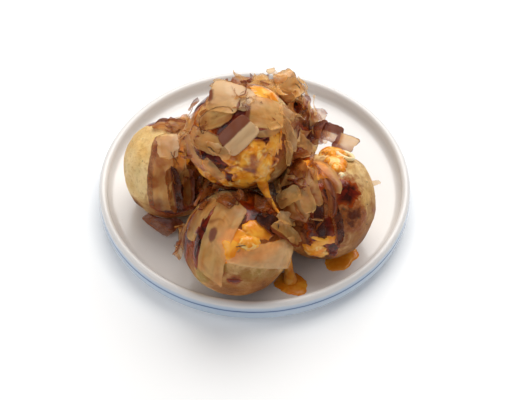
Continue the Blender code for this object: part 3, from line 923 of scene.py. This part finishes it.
# Spots of sauce: ball, azimuth, elevation, spin, size, thickness, and for the cheese
# also how brown it is, how marbled with pale and how ragged its edge is.
sauces = {
    "brown": [
        ("ball_right", -39, 56, 127, (15, 13), 0.4),
        ("ball_right", -96, 28, 88, (17, 15), 0.7),
        ("ball_right", -80, -2, 176, (16, 6), 0.5),
        ("ball_right", -140, 50, 50, (26, 16), 0.5),
        ("ball_right", 150, 50, 50, (22, 16), 0.5),
        ("ball_front", -145, 42, 154, (30, 11), 0.8),
        ("ball_front", -170, 26, 160, (26, 12), 0.6),
        ("ball_front", 0, 66, 165, (20, 18), 0.6),
        ("ball_front", -92, 6, 88, (7, 2.6), 0.3),
        ("ball_front", -10, 20, 170, (16, 9), 0.4),
        ("ball_top", -62, 42, 80, (15, 7), 0.6),
        ("ball_top", -128, 19, 84, (20, 8), 1.5),
        ("ball_top", -71, 45, 78, (14, 7), 1.6),
        ("ball_top", -110, 66, 20, (26, 22), 1.5),
        ("ball_top", -100, 4, 30, (8, 6), 2.0),
        ("ball_top", -100, -26, 84, (22, 9), 0.5),
        ("ball_left", -62, 24, 180, (30, 18), 0.6),
        ("ball_left", -86, -8, 84, (16, 9), 0.35),
        ("ball_back", 3, 56, 154, (14, 12), 0.6),
        ("ball_back", -44, 32, 150, (20, 12), 0.6),
        ("ball_back", 122, 30, 172, (26, 8), 0.6),
        ("ball_back", 66, 34, 168, (20, 10), 0.6),
        ("ball_top", 104, 26, 178, (28, 9), 0.6),
        ("ball_top", 160, 30, 170, (22, 8), 0.6),
        ("ball_left", 120, 44, 176, (18, 7), 0.5),
    ],
    "cheese": [
        ("ball_front", -92, 48, 96, (14, 15), 1.3, -0.3, 0.0, 0.25),
        ("ball_front", -46, 56, 131, (13, 9), 1.5, -0.3, 0.1, 0.25),
        ("ball_front", -68, 48, 112, (10, 7), 2.1, -0.4, 1.0, 0.25),
        ("ball_front", -48, 33, 100, (17, 6), 0.6, -0.1),
        ("ball_top", -82, 17, 97, (24, 20), 2.6, 0.45, 1.0),
        ("ball_top", -96, -6, 84, (20, 9), 2.0, 0.35, 1.0),
        ("ball_top", -140, 42, 56, (22, 10), 0.9, 0.1, 0.3),
        ("ball_top", -136, 0, 50, (20, 18), 1.4, 0.5, 0.9),
        ("ball_top", -45, 32, 122, (9, 13), 1.0, 0.1, 0.4),
        ("ball_top", -78, 70, 101, (10, 12), 1.2, 0.15, 0.6),
        ("ball_top", -176, 24, 0, (30, 14), 1.1, 0.5, 0.7),
        ("ball_top", 40, 62, 20, (20, 12), 0.9, 0.3, 0.8),
        ("ball_back", 0, 44, 20, (16, 8), 0.9, 0.3, 0.9),
        ("ball_right", 74, 50, 83, (11, 8), 2.6, -0.5, 1.0),
        ("ball_right", 52, 68, 34, (10, 12), 2.2, -0.5, 1.0),
        ("ball_right", 160, 80, 20, (20, 9), 1.3, 0.1, 0.4),
        ("ball_right", -87, 13, 93, (14, 6), 1.3, 0.0, 0.3),
        ("ball_right", -98, -6, 80, (11, 12), 1.0, 0.1, 0.9),
        ("ball_left", -66, 58, 100, (8, 12), 1.0, 0.0),
        ("ball_left", 62, 60, 30, (8, 7), 2.0, 0.0),
    ],
    "mayonnaise": [
        ("ball_right", 0, 71, 164, (3, 2.4), 0.6),
    ],
}

sauceEdges = {
    "browning": 0.2,       # where a spot doesn't say
    "marbling": 0.3,
    "ragged": 0.5,
    "tuckedUnder": 0.22,   # how far the edge goes into the dough
    "turns": 72,
    "rings": 20,
}

# Strings of cheese: their points, either on a ball with a lift or free in the air, the
# radius at each and how brown it is. The first sags from the top ball onto the front
# one, and the second runs off the front ball and spreads on the plate.
cheeseStrings = [
    {
        "route": [("ball_top", -72, 2, 0.6), ("ball_top", -68, -15, 1.2), (5.5, -40.5, 50.5),
                  (8.6, -43.6, 46.2), ("ball_front", 6, 40, 1.2)],
        "radii": [2.6, 2.2, 1.2, 0.8, 0.5],
        "stain": -0.15,
    },
    {
        "route": [("ball_front", -22, 6, -0.4), (13.6, -49.0, 22.0), (14.6, -51.0, 14.0), (15.2, -52.0, 8.2)],
        "radii": [2.2, 1.9, 2.0, 3.4],
        "stain": -0.5,
    },
]

cheesePools = [
    {"at": (15.8, -53.0), "size": (15.0, 12.0), "thick": 1.1, "heading": -20, "seed": 5.0, "stain": -0.55},
    {"at": (37.5, -39.5), "size": (17.0, 11.0), "thick": 0.9, "heading": 40, "seed": 8.0, "stain": -0.3},
]

mayonnaiseRing = {
    "ball": "ball_right",
    "azimuth": 54,
    "elevation": 50,
    "reach": (13, 7),
    "lift": 0.9,
    "radius": 0.95,
}


def brownSauce():
    finish = Finish("brownSauce", 0.14, Specular_IOR_Level=0.35)
    cloud = finish.noise(3.5, 4.0, distortion=0.8)
    colour = finish.mix(finish.steps(cloud, 0.35, 0.65), linear(112, 24, 0), linear(48, 8, 0))
    runny = finish.plus(finish.painted("thin"), finish.times(cloud, 0.6))
    colour = finish.tint(colour, runny, 0.5, 1.25, 0.9, (186, 76, 4))
    finish.colour(colour)
    finish.bump(finish.noise(1.3, 4.0), 0.25, 0.6)
    # it thins out to a clear amber edge
    finish.seeThrough(finish.steps(runny, 0.75, 1.5, 0.97, 0.25), 0.0, colour)
    return finish.material


def meltedCheese():
    finish = Finish("meltedCheese", 0.24, Coat_Weight=0.3, Coat_Roughness=0.08, Specular_IOR_Level=0.3,
                    Subsurface_Weight=0.1, Subsurface_Scale=0.002)
    finish.shader.inputs["Subsurface Radius"].default_value = (1.0, 0.5, 0.12)
    cloud = finish.noise(5.0, 2.0, distortion=0.5)
    marble = finish.noise(3.0, 2.0, distortion=0.8)
    colour = finish.mix(finish.steps(cloud, 0.34, 0.66), linear(250, 174, 56), linear(236, 136, 22))
    cream = finish.times(finish.steps(marble, 0.48, 0.72), finish.painted("pale"))
    colour = finish.mix(cream, colour, linear(255, 216, 128))
    stained = finish.plus(finish.painted("stain"), finish.sway(finish.noise(6.0, 2.0, distortion=0.9), 2.4))
    stained = finish.plus(stained, finish.sway(finish.noise(1.8, 3.0), 0.4))
    colour = finish.tint(colour, stained, 0.15, 0.8, 0.88, (166, 74, 4))
    colour = finish.tint(colour, stained, 0.7, 1.2, 0.9, (92, 28, 2))
    finish.colour(colour)
    finish.bump(finish.noise(2.6, 2.0), 0.2, 0.3)
    return finish.material


def creamyMayonnaise():
    finish = Finish("creamyMayonnaise", 0.22, Coat_Weight=0.4, Coat_Roughness=0.12, IOR=1.45,
                    Subsurface_Weight=0.25, Subsurface_Scale=0.002)
    cloud = finish.noise(3.0, 3.0, distortion=0.5)
    finish.colour(finish.mix(cloud, linear(252, 236, 198), linear(246, 214, 146)))
    finish.bump(finish.noise(1.6, 2.0), 0.2, 0.4)
    return finish.material


def addSpot(heap, seed, ballName, azimuth, elevation, spin, size, thick,
            stain=sauceEdges["browning"], pale=sauceEdges["marbling"], ragged=sauceEdges["ragged"]):
    ball = balls[ballName]
    centre = inMetres(ball["at"])
    middle = toward(azimuth, elevation)
    along, across = axesOf(middle, spin)
    halfLength, halfWidth = (side * mm / 2 for side in size)
    turns, rings = sauceEdges["turns"], sauceEdges["rings"]
    points, thins = [], []
    for i in range(turns):
        angle = 2.0 * pi * i / turns
        bite = noise.fractal(Vector((cos(angle) * 1.7, sin(angle) * 1.7, seed)), 0.9, 2.1, 3)
        edge = max(1.0 + ragged * bite, 0.3)
        for j in range(rings + 1):
            rho = j / rings
            x = cos(angle) * halfLength * edge * rho
            y = sin(angle) * halfWidth * edge * rho
            away = sqrt(x * x + y * y)
            turn = away / (ball["radius"] * mm)
            tangent = (along * x + across * y) / away if away else along
            outward = middle * cos(turn) + tangent * sin(turn)
            swell = 0.8 + 0.5 * noise.fractal(Vector((x / mm / 8.0, y / mm / 8.0, seed)), 0.9, 2.1, 2)
            height = thick * swell * sqrt(max(1.0 - rho ** 3, 0.0)) - sauceEdges["tuckedUnder"] * rho ** 2
            points.append(centre + outward * (doughReach(ball, outward) + height * mm))
            thins.append(rho ** 2)
    heap.add(points, gridFaces(turns, rings, turned=True), thin=thins, pale=pale, stain=stain)


def addPool(heap, pool, turns=48, rings=10):
    # sauce that has run out flat on the plate's floor
    heading = radians(pool["heading"])
    points, thins = [], []
    for i in range(turns):
        angle = 2.0 * pi * i / turns
        edge = 1.0 + 0.3 * noise.fractal(Vector((cos(angle), sin(angle), pool["seed"])), 0.8, 2.1, 3)
        for j in range(rings + 1):
            rho = j / rings
            x = cos(angle) * pool["size"][0] / 2 * edge * rho
            y = sin(angle) * pool["size"][1] / 2 * edge * rho
            height = pool["thick"] * sqrt(max(1.0 - rho ** 3, 0.0)) - 0.1
            points.append(Vector((pool["at"][0] + x * cos(heading) - y * sin(heading),
                                  pool["at"][1] + x * sin(heading) + y * cos(heading),
                                  plate["floorHeight"] + height)) * mm)
            thins.append(rho ** 2)
    heap.add(points, gridFaces(turns, rings, turned=True), thin=thins, stain=pool["stain"], pale=0.2)


def curveThrough(route, radii, steps=8):
    # a smooth curve through the points, and the radius along it
    places, widths = [], []
    padded = [route[0]] + route + [route[-1]]
    for k in range(1, len(padded) - 2):
        a, b, c, d = padded[k - 1:k + 3]
        for s in range(steps + (k == len(padded) - 3)):
            t = s / steps
            places.append(((b * 2) + (c - a) * t + (a * 2 - b * 5 + c * 4 - d) * t * t
                           + (b * 3 - a - c * 3 + d) * t * t * t) / 2)
            widths.append(radii[k - 1] + (radii[min(k, len(radii) - 1)] - radii[k - 1]) * t)
    return places, widths


def addTube(heap, route, radii, sides=10, stain=-0.15):
    # a strand through the route's points, with a radius at each
    places, widths = curveThrough(route, radii)
    points, faces = [], []
    for k, place in enumerate(places):
        before, after = places[max(k - 1, 0)], places[min(k + 1, len(places) - 1)]
        heading = (after - before).normalized()
        sideways = heading.cross(Vector((0.3, 0.2, 1.0))).normalized()
        upward = sideways.cross(heading)
        radius = widths[k] * mm
        for s in range(sides):
            angle = 2.0 * pi * s / sides
            points.append(place + sideways * cos(angle) * radius + upward * sin(angle) * radius)
    for k in range(len(places) - 1):
        for s in range(sides):
            near, far = k * sides + s, k * sides + (s + 1) % sides
            faces.append((near, far, far + sides, near + sides))
    faces.append(tuple(reversed(range(sides))))
    faces.append(tuple(len(points) - sides + s for s in range(sides)))
    heap.add(points, faces, thin=0.2, pale=0.3, stain=stain)


def makeSauces(finishes):
    for kind, spots in sauces.items():
        heap = Heap("thin", "pale", "stain")
        for number, spot in enumerate(spots):
            addSpot(heap, 3.1 * number + len(kind), *spot)
        if kind == "cheese":
            for string in cheeseStrings:
                route = [onBall(*stop) if len(stop) == 4 else inMetres(stop) for stop in string["route"]]
                addTube(heap, route, string["radii"], stain=string["stain"])
            for pool in cheesePools:
                addPool(heap, pool)
        if kind == "mayonnaise":
            ring = mayonnaiseRing
            route = []
            for angle in range(0, 361, 40):
                azimuth = ring["azimuth"] + ring["reach"][0] * cos(radians(angle))
                elevation = ring["elevation"] + ring["reach"][1] * sin(radians(angle))
                route.append(onBall(ring["ball"], azimuth, elevation, ring["lift"]))
            addTube(heap, route, [ring["radius"]] * len(route))
        pieceName = kind + ("Sauce" if kind == "brown" else "Topping")
        heap.make(pieceName, finishes[kind])


fibres = {
    "seed": 21,
    "strands": [
        # ball, azimuth, elevation, spin, length, radius, lift
        ("ball_front", -141, 30, 168, 8.0, 0.26, 1.4),
        ("ball_front", -81, 48, 77, 5.2, 0.18, 2.4),
        ("ball_top", -125, 29, 93, 9.5, 0.16, 2.0),
        ("ball_back", 20, 62, 60, 11.0, 0.16, 6.5),
        ("ball_back", -20, 50, 100, 9.0, 0.14, 2.5),
        ("ball_left", -80, 60, 150, 8.0, 0.14, 1.8),
    ],
    "widths": [0.5, 1.0, 1.0, 0.9, 0.8, 0.4],      # shares of the radius along a strand
    "sides": 6,
}


def makeFibres(material):
    draw = random.Random(fibres["seed"])
    heap = Heap("thin")
    for ballName, azimuth, elevation, spin, length, radius, lift in fibres["strands"]:
        middle = toward(azimuth, elevation)
        along, across = axesOf(middle, spin)
        ball = balls[ballName]
        route = []
        for step in range(6):
            share = step / 5 - 0.5
            wander = draw.uniform(-0.5, 0.5)
            turn = share * length / ball["radius"]
            outward = (middle + along * turn + across * wander / ball["radius"]).normalized()
            rise = lift * (1.0 - 1.6 * abs(share)) + 0.4
            route.append(inMetres(ball["at"]) + outward * (doughReach(ball, outward) + rise * mm))
        addTube(heap, route, [radius * width for width in fibres["widths"]], sides=fibres["sides"])
    heap.make("darkFibres", material)


herbs = {
    "seed": 12,
    "onEachBall": 42,
    "size": (0.18, 0.75, 0.3),         # least, most and usual
    "elevations": (-10, 80, 40),
    "corners": 5,
    "lift": 0.12,
}


def makeHerbs(material):
    draw = random.Random(herbs["seed"])
    heap = Heap()
    for ballName in balls:
        for _ in range(herbs["onEachBall"]):
            azimuth, elevation = draw.uniform(-180, 180), draw.triangular(*herbs["elevations"])
            place = onBall(ballName, azimuth, elevation, herbs["lift"])
            size = draw.triangular(*herbs["size"]) * mm
            outward = toward(azimuth, elevation)
            along, across = axesOf(outward, draw.uniform(0, 180))
            corners = []
            for corner in range(herbs["corners"]):
                angle = 2.0 * pi * (corner + draw.uniform(-0.3, 0.3)) / herbs["corners"]
                reach = size * draw.uniform(0.5, 1.0)
                corners.append(place + along * cos(angle) * reach + across * sin(angle) * reach * 0.6)
            corners[0] += outward * size * 0.4
            heap.add(corners, [tuple(range(herbs["corners"]))])
    heap.make("herbFlakes", material)


studio = {
    "cameraAway": 0.65,
    "cameraElevation": 50.0,
    "lens": 100.0,
    "aim": (0.0006, 0.0, -0.00025),
    "sky": (0.98, 0.98, 1.0, 1.0),
    "skyStrength": 0.17,
    "floorReach": 4.0,
    "floorDrop": 0.0002,
    "floorColour": (0.93, 0.93, 0.93, 1.0),
    "floorGlow": 0.12,
    "lamps": {
        # azimuth, elevation, size, power, colour
        "windowLight": (72, 60, 1.1, 11.2, (1.0, 0.99, 0.97)),
        "leftLight": (215, 48, 0.8, 2.3, (1.0, 0.99, 0.98)),
        "frontLight": (-58, 50, 0.8, 0.45, (1.0, 0.99, 0.98)),
    },
    "lampAway": 1.0,
}


def aimed(name, data, place, direction):
    # a camera or lamp that looks back along the direction
    thing = bpy.data.objects.new(name, data)
    bpy.context.scene.collection.objects.link(thing)
    thing.location = place
    thing.rotation_mode = "QUATERNION"
    thing.rotation_quaternion = (-direction).to_track_quat("-Z", "Y")
    return thing


def setStudio():
    scene = bpy.context.scene
    scene.view_settings.view_transform = "Standard"
    lens = bpy.data.cameras.new("camera")
    lens.lens = studio["lens"]
    lens.sensor_width = 36.0
    lens.clip_start, lens.clip_end = 0.01, 10.0
    back = toward(-90, studio["cameraElevation"])
    scene.camera = aimed("camera", lens, Vector(studio["aim"]) + back * studio["cameraAway"], back)

    for name, (azimuth, elevation, size, power, colour) in studio["lamps"].items():
        light = bpy.data.lights.new(name, "AREA")
        light.shape, light.size = "DISK", size
        light.energy, light.color = power, colour
        out = toward(azimuth, elevation)
        aimed(name, light, out * studio["lampAway"], out)

    world = bpy.data.worlds.new("studioSky")
    world.use_nodes = True
    sky = world.node_tree.nodes["Background"]
    sky.inputs["Color"].default_value = studio["sky"]
    sky.inputs["Strength"].default_value = studio["skyStrength"]
    scene.world = world

    mesh = bpy.data.meshes.new("tabletop")
    reach, height = studio["floorReach"], -studio["floorDrop"]
    corners = [(x * reach, y * reach, height) for x, y in ((-1, -1), (1, -1), (1, 1), (-1, 1))]
    mesh.from_pydata(corners, [], [(0, 1, 2, 3)])
    floor = bpy.data.objects.new("tabletop", mesh)
    scene.collection.objects.link(floor)
    paper = bpy.data.materials.new("palePaper")
    paper.use_nodes = True
    sockets = paper.node_tree.nodes["Principled BSDF"].inputs
    sockets["Base Color"].default_value = studio["floorColour"]
    sockets["Roughness"].default_value = 0.9
    sockets["Emission Color"].default_value = (1.0, 1.0, 1.0, 1.0)
    sockets["Emission Strength"].default_value = studio["floorGlow"]
    mesh.materials.append(paper)


setStudio()
print("studio set")
makePlate()
print("plate turned")
doughFinish = bakedDough()
for ballName in balls:
    makeBall(ballName, doughFinish)
print("balls baked")
makeSauces({"brown": brownSauce(), "cheese": meltedCheese(), "mayonnaise": creamyMayonnaise()})
print("sauces poured")
bonitoFinish = driedBonito()
makeFlakes(bonitoFinish)
makeShreds(bonitoFinish)
print("shavings laid")
makeFibres(speckled("darkFibre", 0.4, 2.0, (74, 40, 24), (36, 20, 16), 0.4))
makeHerbs(speckled("driedHerb", 0.6, 1.5, (70, 82, 34), (44, 52, 22), 0.3))
print("herbs sprinkled")
